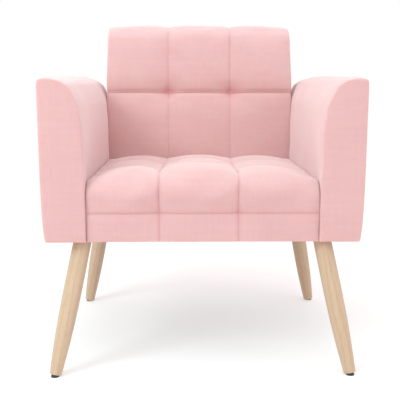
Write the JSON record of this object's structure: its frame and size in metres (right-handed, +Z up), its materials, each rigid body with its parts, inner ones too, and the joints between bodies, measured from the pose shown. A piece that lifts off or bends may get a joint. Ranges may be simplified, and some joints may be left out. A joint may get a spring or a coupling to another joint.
{
  "type": "upholstered armchair",
  "caption": "Low padded tub-style armchair with slab arms, a quilted fixed seat and leaning quilted back, on splayed turned tapering wooden legs.",
  "frame": {"origin": "on the floor, at the middle of the chair's plan outline", "axes": "+Z up, the sitter faces -Y, +X to the right seen from the front"},
  "size_m": [0.7, 0.6952, 0.803],
  "materials": {
    "upholstery": "matte",
    "foam": "matte",
    "frame_timber": "matte",
    "board": "matte",
    "webbing": "matte",
    "dust_cloth": "matte",
    "leg_wood": "satin",
    "steel": "satin",
    "glide_plastic": "matte"
  },
  "bodies": {
    "root": {"arm_cover_left": "upholstery", "arm_cover_right": "upholstery", "arm_foam_left": "foam", "arm_foam_right": "foam", "arm_front_board_left": "board", "arm_front_board_right": "board", "arm_front_cover_left": "upholstery", "arm_front_cover_right": "upholstery", "arm_front_post_left": "frame_timber", "arm_front_post_right": "frame_timber", "arm_inner_board_left": "board", "arm_inner_board_right": "board", "arm_outer_board_left": "board", "arm_outer_board_right": "board", "arm_rear_post_left": "frame_timber", "arm_rear_post_right": "frame_timber", "arm_top_rail_left": "frame_timber", "arm_top_rail_right": "frame_timber", "back_bolt_nuts": "steel", "back_bolt_washers": "steel", "back_bolts": "steel", "back_bottom_rail": "frame_timber", "back_cover_front": "upholstery", "back_cover_rear": "upholstery", "back_foam": "foam", "back_middle_rail": "frame_timber", "back_rear_board": "board", "back_stile_left": "frame_timber", "back_stile_right": "frame_timber", "back_top_rail": "frame_timber", "back_webbing": "webbing", "bearer_front": "frame_timber", "bearer_rear": "frame_timber", "dust_cover": "dust_cloth", "frame_screws": "steel", "glide_front_left": "glide_plastic", "glide_front_right": "glide_plastic", "glide_nails": "steel", "glide_rear_left": "glide_plastic", "glide_rear_right": "glide_plastic", "leg_front_left": "leg_wood", "leg_front_right": "leg_wood", "leg_hanger_bolts": "steel", "leg_plate_screws": "steel", "leg_plates": "steel", "leg_rear_left": "leg_wood", "leg_rear_right": "leg_wood", "seat_cover": "upholstery", "seat_foam": "foam", "seat_webbing_crosswise": "webbing", "seat_webbing_lengthwise": "webbing", "side_rail_left": "frame_timber", "side_rail_right": "frame_timber"}
  },
  "joints": []
}
